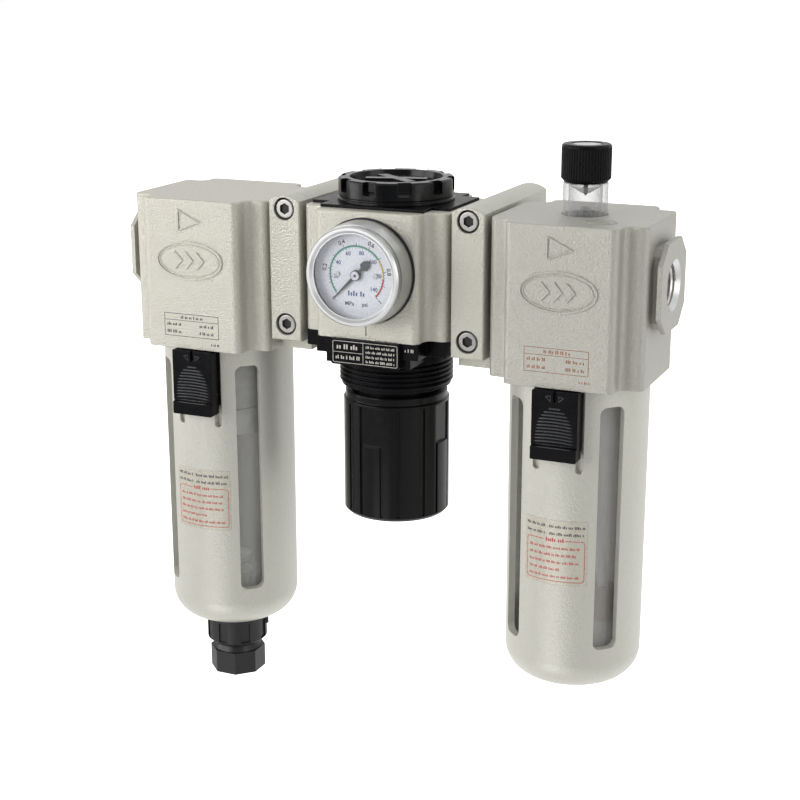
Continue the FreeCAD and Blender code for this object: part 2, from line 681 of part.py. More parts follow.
def make_sight_dome():
    """Clear dome over the nozzle, with the adjusting cap on top."""
    at = module_at(1)
    dome = new_body("lubricator_sight_dome", at)
    turn(dome, [(6.6, 13.2), (D.dome_radius, 13.2), (D.dome_radius, 16.9), (7.5, 16.9), (7.5, 19.1),
                (D.dome_radius, 19.1), (D.dome_radius, D.dome_top), (0.95, D.dome_top), (0.95, 33.6),
                (1.9, 33.6), (6.6, 36.4)])
    x, y, _ = at
    SUBPARTS.append(ring_seal("lubricator_dome_seal", (x, y, 18), 8.3, 0.75))

    cap = new_body("lubricator_adjusting_cap", at)
    foot = D.dome_top + 0.3
    outer = D.dome_cap_radius
    turn(cap, [(0, 32.3), (0.85, 33.2), (0.85, foot), (outer - 1.4, foot), (outer, foot + 1.6),
               (outer, D.dome_cap_top - 0.7), (outer - 0.7, D.dome_cap_top), (5.9, D.dome_cap_top),
               (5.9, D.dome_cap_top - 1.6), (0, D.dome_cap_top - 1.6)])
    flute = cut(cap, TOP, circles=[(outer + 0.12, 0, 0.42)], start=foot + 1, end=D.dome_cap_top - 1.3)
    repeat_round(cap, flute, 54)

    disc = new_body("lubricator_cap_disc", at)
    turn(disc, [(0, D.dome_cap_top - 1.5), (5.8, D.dome_cap_top - 1.5), (5.8, D.dome_cap_top - 0.3),
                (0, D.dome_cap_top - 0.3)])


# ---------------------------------------------------------------- regulator

def make_regulator_top():
    """Lid plate, notched valve cap with its guide tube, and the sprung valve."""
    at = module_at(0)
    lid = new_body("regulator_top_lid", at)
    add(lid, TOP, [stepped_outline(D.block_half_width - 1.4, 16, D.pad_half_width, 24.6)],
        circles=[(0, 0, D.cap_plug_radius + 0.5)], start=D.body_top + 0.05, end=D.body_top + 1.2)

    cap = new_body("regulator_valve_cap", at)
    plug = D.cap_plug_radius
    ledge = D.body_top + 1.3
    rim = D.cap_radius
    turn(cap, [(3.6, 11.5), (5.2, 11.5), (5.2, 21), (11, 21), (11, 12.5), (plug, 12.5), (plug, 16.9),
               (14.9, 16.9), (14.9, 19.1), (plug, 19.1), (plug, ledge), (rim + 0.3, ledge),
               (rim + 0.3, ledge + 0.9), (rim - 0.3, ledge + 1.2), (rim - 0.3, ledge + 1.7), (rim, ledge + 2),
               (rim, D.cap_top - 0.6), (rim - 0.6, D.cap_top), (19, D.cap_top), (18.4, 33), (0, 33),
               (0, 24), (3.6, 24)])
    notch = cut(cap, FRONT, [[(21, 31.9), (25, 29.3), (25, 40), (21, 40)]], start=-2.7, end=2.7)
    repeat_round(cap, notch, 10)
    add(cap, TOP, circles=[(0, 0, 13)], start=32.5, end=33.9)
    for turned in (20, 75):
        along = (math.cos(math.radians(turned)), math.sin(math.radians(turned)))
        add(cap, TOP, [[(12.6 * p * along[0] - 2.2 * q * along[1], 12.6 * p * along[1] + 2.2 * q * along[0])
                        for p, q in ((1, -1), (1, 1), (-1, 1), (-1, -1))]], start=33.5, end=34.9)
    cap.Placement.Rotation = FreeCAD.Rotation(FreeCAD.Vector(0, 0, 1), -58)
    x, y, _ = at
    SUBPARTS.append(ring_seal("regulator_cap_seal", (x, y, 18), 16, 1.0))

    valve = new_body("regulator_valve", at)
    turn(valve, [(0, -23.7), (2, -23.7), (2, 0), (5.6, 3.05), (9, 3.05), (9, 7.5), (3.5, 8.5),
                 (3.5, 17), (0, 17)])
    coil_spring("regulator_valve_spring", at, 6.3, 0.5, 8.6, 20.8, 6)


def make_diaphragm():
    """Diaphragm clamped at its rim, and the plate with the relief seat under the valve stem."""
    at = module_at(0)
    membrane = new_body("regulator_diaphragm", at)
    foot = D.regulator_foot
    turn(membrane, [(5.2, -foot - 0.2), (21.8, -foot - 0.2), (21.8, -foot - 1.4), (5.2, -foot - 1.4)])
    plate = new_body("regulator_diaphragm_plate", at)
    turn(plate, [(0, -23.9), (4.9, -23.9), (4.9, -foot - 1.6), (14.5, -foot - 1.6), (14.5, -foot - 3.2),
                 (9.5, -foot - 3.2), (9.5, -foot - 5.5), (0, -foot - 5.5)])


def make_bonnet():
    """Black bonnet: flange under the body, panel thread, spring chamber and screw bearing."""
    body = new_body("regulator_bonnet", module_at(0))
    top = D.regulator_foot + 0.1
    add(body, TOP, [stepped_outline(D.block_half_width - 0.6, D.block_half_depth - 0.5, D.pad_half_width,
                                    D.pad_half_depth - 0.6)], start=-32.8, end=-top)
    add(body, TOP, [rectangle(-18.5, -28.6, 18.5, 28.6)], start=-36.9, end=-32)
    add(body, FRONT, [soft_rectangle(-15, -36.9, 15, -top, 0.8)], start=26, end=31.6)
    root = D.thread_radius - D.thread_depth
    turns = 6
    thread = [point for k in range(turns) for point in (
        (D.thread_radius, -D.thread_top - D.thread_pitch * k),
        (D.thread_radius, -D.thread_top - D.thread_pitch * (k + 0.3)),
        (root, -D.thread_top - D.thread_pitch * (k + 0.55)),
        (root, -D.thread_top - D.thread_pitch * (k + 0.75)))]
    turn(body, [(0, -30), (D.thread_radius, -30)] + thread
         + [(root, -D.thread_foot), (18.6, -D.thread_foot), (18.6, -70), (0, -70)])
    bearing = D.adjusting_radius + 0.06
    bore(body, [(0, -top + 1), (22.1, -top + 1), (22.1, -27.75), (19.5, -27.75), (19.5, -33), (16.5, -34),
                (16.5, -66.5), (bearing, -66.5), (bearing, -71), (0, -71)])
    add(body, TOP, circles=[(16.4, 0, 1.1), (-16.4, 0, 1.1)], start=-66.8, end=-44)
    return body


def make_adjuster():
    """Regulating spring, spring nut, adjusting screw and the knob that turns it."""
    at = module_at(0)
    coil_spring("regulator_main_spring", at, 12.2, 1.5, -D.spring_nut_top + 0.2, -29.8, 5)

    nut = new_body("regulator_spring_nut", at)
    top = -D.spring_nut_top
    turn(nut, [(4.15, top + 4), (8.5, top + 4), (8.5, top), (15.8, top), (15.8, top - 3.5),
               (4.15, top - 3.5)])
    key = cut(nut, TOP, circles=[(15.9, 0, 1.5)], start=top - 4, end=top + 1)
    repeat_round(nut, key, 2)

    screw = new_body("regulator_adjusting_screw", at)
    radius = D.adjusting_radius
    turn(screw, [(0, -46), (radius, -46), (radius, -64.3), (7, -64.3), (7, -66.2), (radius, -66.2),
                 (radius, -72.5), (3, -72.5), (3, -98), (0, -98)])
    add(screw, TOP, [chamfered_square(5.2, 5.2, 2.2, 2.2)], start=-96, end=-73)

    knob = new_body("regulator_knob", at)
    outer = D.knob_radius
    inner = 19.6
    crown = D.knob_crown_radius
    turn(knob, [(inner, -D.knob_top), (crown - 0.6, -D.knob_top), (crown, -D.knob_top - 0.6), (crown, -55.6),
                (outer, -56.2), (outer, -D.knob_foot + 1.2), (outer - 1, -D.knob_foot), (0, -D.knob_foot),
                (0, -D.knob_foot + 2.8), (inner, -D.knob_foot + 2.8)])
    add(knob, TOP, circles=[(0, 0, 8.5)], start=-D.knob_foot + 2, end=-76)
    cut(knob, TOP, [chamfered_square(5.5, 5.5, 2.3, 2.3)], start=-D.knob_foot + 3.2, end=-75)
    panel = 12.5
    outside = outer + 1
    window_floor = outer - 0.7
    groove_floor = outer - 0.8
    window = cut(knob, TOP, [[polar(outside, -panel), polar(outside, panel), polar(window_floor, panel),
                              polar(window_floor, -panel)]], start=-73.6, end=-57)
    repeat_round(knob, window, 4)
    grooves = cut(knob, TOP, [[polar(groove_floor, angle - 1.6), polar(outside, angle - 2.2),
                               polar(outside, angle + 2.2), polar(groove_floor, angle + 1.6)]
                              for angle in (-31, -panel, panel, 31)],
                  start=-D.knob_foot + 1.8, end=-57)
    repeat_round(knob, grooves, 4)
    knob.Placement.Rotation = FreeCAD.Rotation(FreeCAD.Vector(0, 0, 1), -5.5)


# ---------------------------------------------------------------- gauge

def make_gauge():
    """Pressure gauge screwed into the regulator's front. Profiles are drawn in the side plane,
    where the first number is the distance along Y, negative towards the front."""
    x, y, _ = module_at(0)
    at = (x, y, D.gauge_height)
    face = -D.bezel_face

    def round_part(label, profile):
        body = new_body(label, at)
        turn(body, profile, plane=SIDE, axis="H_Axis")
        return body

    round_part("gauge_seat_ring", [(-30.4, 12), (-30.4, 21.3), (-31.2, 21.3), (-31.2, 12)])
    case = D.case_radius
    round_part("gauge_case", [(-17.2, 0), (-17.2, 4.9), (-31.4, 4.9), (-31.4, case), (-36, case),
                              (-40.3, case - 0.7), (-40.3, 18.4), (-33.2, 18.4), (-33.2, 0)])
    bezel = D.bezel_radius
    round_part("gauge_bezel", [(-40.5, 17.6), (-40.5, bezel), (face + 0.7, bezel), (face, bezel - 0.6),
                               (face, bezel - 1.6), (face + 1, bezel - 2.6), (face + 1, 16.8),
                               (-42.4, 16.8), (-42.4, 17.6)])
    round_part("gauge_lens", [(-41.0, 0), (-41.0, 17.4), (-42.2, 17.4), (-42.2, 0)])
    round_part("gauge_dial", [(-38.0, 0.9), (-38.0, 18.2), (-38.6, 18.2), (-38.6, 0.9)])
    movement = new_body("gauge_movement", at)
    add(movement, FRONT, [rectangle(-9, -8, 9, 8)], start=33.5, end=37.5)
    cut(movement, FRONT, circles=[(0, 0, 0.7)], start=33, end=38)

    screws = new_body("gauge_dial_screws", at)
    for side in (-1, 1):
        add(screws, FRONT, circles=[(8.2 * side, 0, 1.0)], start=38.65, end=39.2)

    needle = new_body("gauge_needle", at)
    turn(needle, [(-34, 0), (-34, 0.6), (-38.9, 0.6), (-38.9, 2.1), (-40.2, 2.1), (-40.4, 1.5), (-40.4, 0)],
         plane=SIDE, axis="H_Axis")
    add(needle, FRONT, [needle_outline()], start=39.2, end=39.6)


def needle_outline():
    """A tapered pointer at zero, down to the left, with a spade-shaped tail."""
    angle = math.radians(225)
    along = (math.cos(angle), math.sin(angle))
    across = (-along[1], along[0])
    half_outline = [(13.5, 0.15), (2, 0.65), (-3.6, 0.6), (-4.8, 1.9), (-6.6, 1.7), (-8.4, 0.3)]
    stations = half_outline + [(reach, -half) for reach, half in reversed(half_outline)]
    return [(reach * along[0] + half * across[0], reach * along[1] + half * across[1])
            for reach, half in stations]


# ---------------------------------------------------------------- brackets and clamps

def arched(half_width, foot):
    """Section of the clamp: square at the bottom, a shallow arch on top."""
    rise = D.clamp_peak.value - D.clamp_shoulder.value
    radius = (half_width.value ** 2 + rise ** 2) / (2 * rise)
    return [(-half_width, -foot), (half_width, -foot),
            (half_width, D.clamp_shoulder, (0, D.clamp_peak), radius), (-half_width, D.clamp_shoulder)]


def flange_pocket(play):
    """The octagon of a flange, with a little room."""
    return chamfered_square(D.flange_half_depth + play, D.flange_half_height + play,
                            D.flange_cut_depth, D.flange_cut_height)


def open_pocket(half_y, half_z, cut_y, cut_z):
    """The back half of an octagon, open towards the front."""
    return [(-16, -half_z), (half_y - cut_y, -half_z), (half_y, -half_z + cut_z), (half_y, half_z - cut_z),
            (half_y - cut_y, half_z), (-16, half_z)]


def make_bracket(label, steps):
    """Wall bracket: foot plate, arm, and the web with the air way between two flanges."""
    body = new_body(label, (D.pitch * steps, -D.wall_reach, 0))
    width = D.clamp_half_width
    add(body, FRONT, [arched(width, D.bracket_foot)], start=-D.wall_reach, end=D.clamp_seam)
    plate = D.foot_plate_half
    add(body, FRONT, [soft_rectangle(-plate, -20, plate, 17, 3)], start=-D.wall_reach,
        end=-D.wall_reach + D.foot_plate_thick)
    play = 0.3
    lip = D.flange_face - D.flange_thick - (D.pitch * 0.5 - width)
    flange = open_pocket(D.flange_half_depth + play, D.flange_half_height + play,
                         D.flange_cut_depth, D.flange_cut_height)
    neck = open_pocket(D.neck_half_depth + play, D.neck_half_height + play, D.neck_cut, D.neck_cut)
    cut(body, SIDE, [flange], start=-width + lip - 0.1, end=-D.web_half)
    cut(body, SIDE, [neck], start=-width - 1, end=-width + lip)
    cut(body, SIDE, [flange], start=D.web_half, end=width - lip + 0.1)
    cut(body, SIDE, [neck], start=width - lip, end=width + 1)
    cut(body, SIDE, circles=[(0, 0, D.bore_radius)], start=-D.web_half, end=D.web_half)
    for start, end in ((-D.web_half, -D.web_half + 2.4), (D.web_half - 2.4, D.web_half)):
        cut(body, SIDE, circles=[(0, 0, 11.8), (0, 0, 9.2)], start=start, end=end)
    offset = D.wall_hole_offset
    cut(body, FRONT, circles=[(-offset, 0, D.wall_hole_radius), (offset, 0, D.wall_hole_radius)],
        start=-D.wall_reach, end=-D.wall_reach + D.foot_plate_thick + 1)
    tapped = D.screw_radius + 0.05
    cut(body, FRONT, circles=[(0, D.screw_high, tapped), (0, -D.screw_low, tapped)],
        start=-3, end=D.clamp_seam + 1)
    return body


def make_clamp_plate(label, steps):
    """Front clamp plate: closes round the front of both flanges, with two screw recesses."""
    body = new_body(label, (D.pitch * steps, -D.wall_reach, 0))
    width = D.clamp_half_width
    add(body, FRONT, [arched(width, D.clamp_foot)], start=D.clamp_seam + 0.2, end=D.clamp_face)
    soften(body, 0.7, lambda e: abs(e.BoundBox.YMin + number(D.clamp_face)) < 0.01
           and e.BoundBox.YLength < 0.01)
    play = 0.3
    lip = D.flange_face - D.flange_thick - (D.pitch * 0.5 - width)
    cut(body, SIDE, [flange_pocket(play)], start=-width + lip - 0.1, end=-D.web_half)
    cut(body, SIDE, [flange_pocket(play)], start=D.web_half, end=width - lip + 0.1)
    for height in (D.screw_high, -D.screw_low):
        cut(body, FRONT, circles=[(0, height, D.screw_radius + 0.25)],
            start=D.clamp_seam, end=D.clamp_face + 1)
        cut(body, FRONT, circles=[(0, height, D.screw_recess_radius)],
            start=D.clamp_face - D.screw_recess_depth, end=D.clamp_face + 1)
    return body


def make_clamp_screws(label, steps):
    """Two socket-head screws."""
    body = new_body(label, (D.pitch * steps, -D.wall_reach, 0))
    seat = D.clamp_face - D.screw_recess_depth + 0.05
    flat = 2.0
    for height in (D.screw_high, -D.screw_low):
        add(body, FRONT, circles=[(0, height, D.screw_radius)], start=-1.5, end=seat + 0.5)
        add(body, FRONT, circles=[(0, height, D.screw_head_radius)], start=seat, end=seat + 4.9)
        hexagon = [(2 * flat / math.sqrt(3) * math.cos(math.radians(60 * k + 30)),
                    height + 2 * flat / math.sqrt(3) * math.sin(math.radians(60 * k + 30))) for k in range(6)]
        cut(body, FRONT, [hexagon], start=seat + 2.2, end=seat + 6)
    soften(body, 0.5, lambda e: e.isClosed() and e.BoundBox.XLength > 7 and e.BoundBox.YLength < 0.01
           and e.BoundBox.YMax < -number(seat) - 4)
    return body


def make_port_seals(label, steps):
    """The two O-rings in one bracket's web."""
    rings = []
    for side in (-1, 1):
        at = (D.pitch * steps + (D.web_half - 1.2) * side, -D.wall_reach, 0)
        rings.append(ring_seal(label + ("_left" if side < 0 else "_right"), at, 10.5, 1.15, about_x=True))
    pair = doc.addObject("Part::Compound", label)
    pair.Label = label
    pair.Links = rings
    SUBPARTS.append(pair)


# ---------------------------------------------------------------- the assembly

def build():
    """Make every sub-part, in the order of assembly."""
    make_filter_body()
    make_guard("filter_bowl_guard", -1, 6.0)
    make_bowl("filter_bowl", -1, 5.1)
    make_bowl_seal("filter", -1)
    make_latch("filter", -1)
    make_filter_internals()
    make_drain()

    make_regulator_body()
    make_regulator_top()
    make_diaphragm()
    make_bonnet()
    make_adjuster()
    make_gauge()

    make_lubricator_body()
    make_guard("lubricator_bowl_guard", 1, 3.0)
    make_bowl("lubricator_bowl", 1, 0)
    make_bowl_seal("lubricator", 1)
    make_latch("lubricator", 1)
    make_lubricator_internals()
    make_sight_dome()

    for name, steps in (("left", -0.5), ("right", 0.5)):
        make_bracket(name + "_bracket", steps)
        make_clamp_plate(name + "_clamp_plate", steps)
        make_clamp_screws(name + "_clamp_screws", steps)
        make_port_seals(name + "_port_seals", steps)


def check_and_export():
    """Stop on any failed object or bad shape, then write one STEP file for each sub-part."""
    doc.recompute()
    for thing in doc.Objects:
        if "Invalid" in thing.State or "Error" in thing.State:
            raise RuntimeError(f"{thing.Label} failed: {thing.State}")
    for part in SUBPARTS:
        shape = part.Shape
        if shape.isNull() or not shape.isValid() or not shape.Solids:
            raise RuntimeError(part.Label + " has no valid solid")
    os.makedirs("parts", exist_ok=True)
    for part in SUBPARTS:
        part.Shape.exportStep(f"parts/{part.Label}.step")
        print(f"{part.Label:30s} solids {len(part.Shape.Solids)}  volume {part.Shape.Volume:10.1f}")


doc = FreeCAD.newDocument("FilterRegulatorLubricator")
D = make_sheet()
build()
check_and_export()
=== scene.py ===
"""Looks of the filter regulator lubricator: materials, moulded and printed detail, studio and camera."""
import json
import math
import random

import bpy
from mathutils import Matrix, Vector


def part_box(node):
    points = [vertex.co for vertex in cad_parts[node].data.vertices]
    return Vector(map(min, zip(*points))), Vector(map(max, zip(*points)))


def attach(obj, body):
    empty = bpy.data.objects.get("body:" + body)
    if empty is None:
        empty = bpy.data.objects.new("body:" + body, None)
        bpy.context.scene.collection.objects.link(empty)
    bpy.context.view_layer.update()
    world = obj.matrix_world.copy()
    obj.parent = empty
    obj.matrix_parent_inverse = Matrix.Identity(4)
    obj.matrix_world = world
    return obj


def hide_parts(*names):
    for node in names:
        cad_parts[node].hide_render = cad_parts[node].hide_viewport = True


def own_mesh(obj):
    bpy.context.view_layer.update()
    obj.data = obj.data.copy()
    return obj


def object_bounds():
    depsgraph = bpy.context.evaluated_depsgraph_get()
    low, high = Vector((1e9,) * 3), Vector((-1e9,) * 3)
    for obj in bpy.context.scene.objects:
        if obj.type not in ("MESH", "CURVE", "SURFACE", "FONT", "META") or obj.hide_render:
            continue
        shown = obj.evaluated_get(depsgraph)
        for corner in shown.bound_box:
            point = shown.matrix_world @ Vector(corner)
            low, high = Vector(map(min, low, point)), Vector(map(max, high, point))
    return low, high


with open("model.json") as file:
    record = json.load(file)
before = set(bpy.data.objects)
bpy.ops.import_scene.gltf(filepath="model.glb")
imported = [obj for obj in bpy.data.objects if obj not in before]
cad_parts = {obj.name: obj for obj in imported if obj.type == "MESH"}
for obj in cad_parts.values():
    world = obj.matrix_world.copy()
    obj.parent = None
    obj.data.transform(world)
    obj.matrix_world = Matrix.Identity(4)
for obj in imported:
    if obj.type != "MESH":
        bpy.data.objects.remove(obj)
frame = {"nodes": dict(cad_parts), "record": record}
cad_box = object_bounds()

MM = 0.001
random.seed(7)

# ---------------------------------------------------------------- places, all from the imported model


def middle(node):
    low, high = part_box(node)
    return (low + high) / 2


FILTER = middle("filter_body")
REGULATOR = middle("regulator_body")
LUBRICATOR = middle("lubricator_body")
GAUGE = middle("gauge_bezel")
PAD_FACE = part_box("filter_body")[0].y
BODY_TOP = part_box("lubricator_body")[1].z
GUARD_RADIUS = 27.9 * MM
PORT_ROOT = 8.33 * MM
PORT_MOUTH = 10.2 * MM
INK_TOP = 0.05
BONNET_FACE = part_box("regulator_bonnet")[0].y
DIAL_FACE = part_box("gauge_dial")[0].y

# ---------------------------------------------------------------- materials


class Shader:
    """A node material: one Principled surface, with patterns that vary it in the object's own space."""

    def __init__(self, name, colour, roughness, metallic=0.0, **sockets):
        self.material = bpy.data.materials.new(name)
        self.material.use_nodes = True
        self.tree = self.material.node_tree
        self.surface = self.tree.nodes["Principled BSDF"]
        self.colour = colour
        self.roughness = roughness
        self.surface.inputs["Base Color"].default_value = (*colour, 1)
        self.surface.inputs["Roughness"].default_value = roughness
        self.surface.inputs["Metallic"].default_value = metallic
        for socket, value in sockets.items():
            self.surface.inputs[socket.replace("_", " ")].default_value = value
        self.space = self.node("ShaderNodeTexCoord").outputs["Object"]

    def node(self, kind, **settings):
        made = self.tree.nodes.new(kind)
        for key, value in settings.items():
            setattr(made, key, value)
        return made

    def link(self, source, target):
        self.tree.links.new(source, target)

    def noise(self, size, detail=2.0, stretch=(1, 1, 1)):
        """A noise pattern whose features are about `size` metres across."""
        mapping = self.node("ShaderNodeMapping")
        mapping.inputs["Scale"].default_value = stretch
        self.link(self.space, mapping.inputs["Vector"])
        pattern = self.node("ShaderNodeTexNoise")
        pattern.inputs["Scale"].default_value = 1 / size
        pattern.inputs["Detail"].default_value = detail
        self.link(mapping.outputs["Vector"], pattern.inputs["Vector"])
        return pattern.outputs["Fac"]

    def ramp(self, source, low, high, start=0.3, end=0.7):
        """Spreads a pattern between two values or two colours."""
        ramp = self.node("ShaderNodeMapRange")
        if isinstance(low, (int, float)):
            ramp.inputs["From Min"].default_value = start
            ramp.inputs["From Max"].default_value = end
            ramp.inputs["To Min"].default_value = low
            ramp.inputs["To Max"].default_value = high
            self.link(source, ramp.inputs["Value"])
            return ramp.outputs["Result"]
        self.tree.nodes.remove(ramp)
        ramp = self.node("ShaderNodeValToRGB")
        ramp.color_ramp.elements[0].position = start
        ramp.color_ramp.elements[1].position = end
        ramp.color_ramp.elements[0].color = (*low, 1)
        ramp.color_ramp.elements[1].color = (*high, 1)
        self.link(source, ramp.inputs["Fac"])
        return ramp.outputs["Color"]

    def tint(self, size, amount, detail=3.0):
        """Lets the colour drift by a share of itself."""
        low = [c * (1 - amount) for c in self.colour]
        high = [min(1, c * (1 + amount)) for c in self.colour]
        self.link(self.ramp(self.noise(size, detail), low, high), self.surface.inputs["Base Color"])
        return self

    def uneven(self, size, amount, detail=3.0):
        """Lets the roughness drift."""
        low, high = self.roughness - amount, self.roughness + amount
        self.link(self.ramp(self.noise(size, detail), low, high), self.surface.inputs["Roughness"])
        return self

    def grain(self, size, depth, detail=2.0, stretch=(1, 1, 1), strength=1.0, edge=0.0):
        """Fine relief, in metres, over edges softened by `edge`."""
        bump = self.node("ShaderNodeBump")
        bump.inputs["Strength"].default_value = strength
        bump.inputs["Distance"].default_value = depth
        self.link(self.noise(size, detail, stretch), bump.inputs["Height"])
        if edge:
            bevel = self.node("ShaderNodeBevel", samples=4)
            bevel.inputs["Radius"].default_value = edge
            self.link(bevel.outputs["Normal"], bump.inputs["Normal"])
        self.link(bump.outputs["Normal"], self.surface.inputs["Normal"])
        return self


def clear(name, tint, gloss, film, edge_film, body=0.25):
    """Clear plastic: what is behind shows through, under a glossy film that thickens towards the edges.
    `body` is how pale the film is."""
    shader = Shader(name, [c * body for c in tint], gloss)
    shader.uneven(0.01, gloss * 0.4)
    see = shader.node("ShaderNodeBsdfTransparent")
    see.inputs["Color"].default_value = (*tint, 1)
    facing = shader.node("ShaderNodeLayerWeight")
    facing.inputs["Blend"].default_value = 0.35
    share = shader.ramp(facing.outputs["Facing"], film, edge_film, 0.0, 1.0)
    mix = shader.node("ShaderNodeMixShader")
    shader.link(share, mix.inputs["Fac"])
    shader.link(see.outputs["BSDF"], mix.inputs[1])
    shader.link(shader.surface.outputs["BSDF"], mix.inputs[2])
    shader.link(mix.outputs["Shader"], shader.tree.nodes["Material Output"].inputs["Surface"])
    return shader


def paint(name, colour, roughness, metallic, grain, depth):
    """Metallic enamel with a fine cast texture."""
    shader = Shader(name, colour, roughness, metallic)
    shader.tint(0.0012, 0.025, 2).uneven(0.0015, 0.05).grain(grain, depth, 3, edge=0.0004)
    return shader.material


def moulded(name, colour, roughness, grain=0.0004, depth=0.00002, edge=0.00025, **sockets):
    """Moulded plastic or rubber."""
    shader = Shader(name, colour, roughness, **sockets)
    shader.tint(0.004, 0.12).uneven(0.003, 0.05).grain(grain, depth, edge=edge)
    return shader.material


def metal(name, colour, roughness, depth=0.000004, drift=0.04, edge=0.0002):
    """Bare or plated metal with a fine surface, whose gloss drifts a little."""
    shader = Shader(name, colour, roughness, 1.0)
    shader.tint(0.006, drift).uneven(0.006, drift).grain(0.0004, depth, edge=edge)
    return shader.material


def ink(name, colour, roughness=0.55):
    """Printed ink, a little uneven."""
    shader = Shader(name, colour, roughness)
    shader.tint(0.0008, 0.12).uneven(0.0006, 0.08)
    return shader.material


MATERIALS = {
    "champagne_paint": paint("champagne_paint", (0.56, 0.545, 0.475), 0.38, 0.35, 0.0007, 0.00042),
    # lubricator paint: a little cooler in tone than the champagne paint, and darker as painted shade,
    # standing in for the lesser light on the lubricator
    "cool_paint": paint("cool_paint", (0.47, 0.46, 0.41), 0.38, 0.40, 0.0006, 0.00036),
    "guard_paint": paint("guard_paint", (0.61, 0.60, 0.535), 0.34, 0.32, 0.0008, 0.00016),
    "bracket_paint": paint("bracket_paint", (0.55, 0.54, 0.47), 0.36, 0.35, 0.0007, 0.00034),
    "black_moulded": moulded("black_moulded", (0.003, 0.003, 0.004), 0.30, edge=0.0005,
                             Specular_IOR_Level=0.13),
    "black_gloss": moulded("black_gloss", (0.003, 0.0033, 0.004), 0.20, edge=0.0005, Specular_IOR_Level=0.28),
    # painted highlight: a black lighter than the latch's own, standing in for the glints on its thumb ribs,
    # ledge edges and small marks
    "worn_black": moulded("worn_black", (0.030, 0.031, 0.034), 0.24, Specular_IOR_Level=0.5),
    "charcoal": moulded("charcoal", (0.012, 0.012, 0.013), 0.42, 0.0006, 0.00003),
    "white_moulded": moulded("white_moulded", (0.70, 0.70, 0.68), 0.45),
    "element": moulded("element", (0.72, 0.72, 0.69), 0.85, 0.0005, 0.00015),
    "rubber": moulded("rubber", (0.012, 0.012, 0.012), 0.6),
    "steel": metal("steel", (0.62, 0.62, 0.61), 0.28),
    "spring_steel": metal("spring_steel", (0.50, 0.50, 0.50), 0.32),
    "bronze": metal("bronze", (0.36, 0.22, 0.13), 0.6, 0.00008, 0.1),
    "brass": metal("brass", (0.66, 0.48, 0.22), 0.3),
    "screw_steel": metal("screw_steel", (0.44, 0.43, 0.41), 0.36),
    "silver": metal("silver", (0.64, 0.645, 0.645), 0.38, 0.0000005, 0.01, 0.0),
    # painted shade: near-black stand-ins for the shade deep in the clamp screws' recesses and hexagon sockets
    "socket_dark": moulded("socket_dark", (0.006, 0.006, 0.006), 0.5),
    "recess_dark": moulded("recess_dark", (0.010, 0.010, 0.010), 0.6),
    "dial": ink("dial", (0.90, 0.905, 0.93), 0.5),
    "needle": ink("needle", (0.03, 0.03, 0.035), 0.4),
    "bowl_clear": clear("bowl_clear", (0.98, 0.98, 0.975), 0.16, 0.19, 0.5, 1.0).material,
    "dome_clear": clear("dome_clear", (0.95, 0.95, 0.95), 0.05, 0.12, 0.9, 0.6).material,
    "tube_clear": clear("tube_clear", (0.97, 0.97, 0.97), 0.08, 0.45, 0.9, 0.9).material,
    "lens_clear": clear("lens_clear", (0.98, 0.985, 1.0), 0.03, 0.05, 0.3, 0.9).material,
    "dark_ink": ink("dark_ink", (0.035, 0.033, 0.03)),
    "brown_ink": ink("brown_ink", (0.30, 0.11, 0.045)),
    "red_ink": ink("red_ink", (0.48, 0.05, 0.045)),
    "light_ink": ink("light_ink", (0.55, 0.53, 0.48)),
    "grey_ink": ink("grey_ink", (0.10, 0.12, 0.16)),
    "blue_ink": ink("blue_ink", (0.07, 0.11, 0.27)),
    "green_ink": ink("green_ink", (0.05, 0.36, 0.22)),
    "yellow_ink": ink("yellow_ink", (0.80, 0.55, 0.05)),
    "scale_red_ink": ink("scale_red_ink", (0.65, 0.05, 0.05)),
    "label_film": paint("label_film", (0.60, 0.575, 0.49), 0.28, 0.3, 0.002, 0.00001),
}

SLOT_MATERIAL = {
    "body_paint": "champagne_paint", "body_paint_cool": "cool_paint", "guard_paint": "guard_paint",
    "bracket_paint": "bracket_paint", "black_plastic": "black_moulded", "black_gloss": "black_gloss",
    "charcoal_plastic": "charcoal", "clear_plastic": "bowl_clear", "white_plastic": "white_moulded",
    "element_white": "element", "steel": "steel", "spring_steel": "spring_steel", "bronze": "bronze",
    "brass": "brass", "rubber": "rubber", "gauge_metal": "silver", "dial_white": "dial",
    "needle_black": "needle", "lens": "lens_clear",
}
NODE_MATERIAL = {
    "lubricator_sight_dome": "dome_clear", "lubricator_drip_nozzle": "dome_clear",
    "lubricator_pickup_tube": "tube_clear",
    "left_clamp_screws": "screw_steel", "right_clamp_screws": "screw_steel",
}


def paint_nodes():
    """Gives every CAD node its material, from its slot in the record."""
    slots = {s["node"]: s["material_slot"] for s in frame["record"]["subparts"]}
    for name, thing in frame["nodes"].items():
        material = MATERIALS[NODE_MATERIAL.get(name, SLOT_MATERIAL[slots[name]])]
        if not thing.material_slots:
            thing.data.materials.append(material)
        for held in thing.material_slots:
            held.material = material


# ---------------------------------------------------------------- the studio


def make_camera():
    lens = bpy.data.cameras.new("photo_lens")
    lens.lens = 73.4
    lens.sensor_width = 36
    lens.clip_start, lens.clip_end = 0.01, 100
    camera = bpy.data.objects.new("photo_camera", lens)
    camera.location = (0.26623, -0.65618, 0.12729)
    camera.rotation_euler = [math.radians(a) for a in (74.28, 0.05, 23.61)]
    bpy.context.scene.collection.objects.link(camera)
    bpy.context.scene.camera = camera


SURROUND = {(-1, 0, 0): 0.23, (1, 0, 0): 0.31, (0, 1, 0): 0.68, (0, 0, 1): 0.76, (0, 0, -1): 1.1}


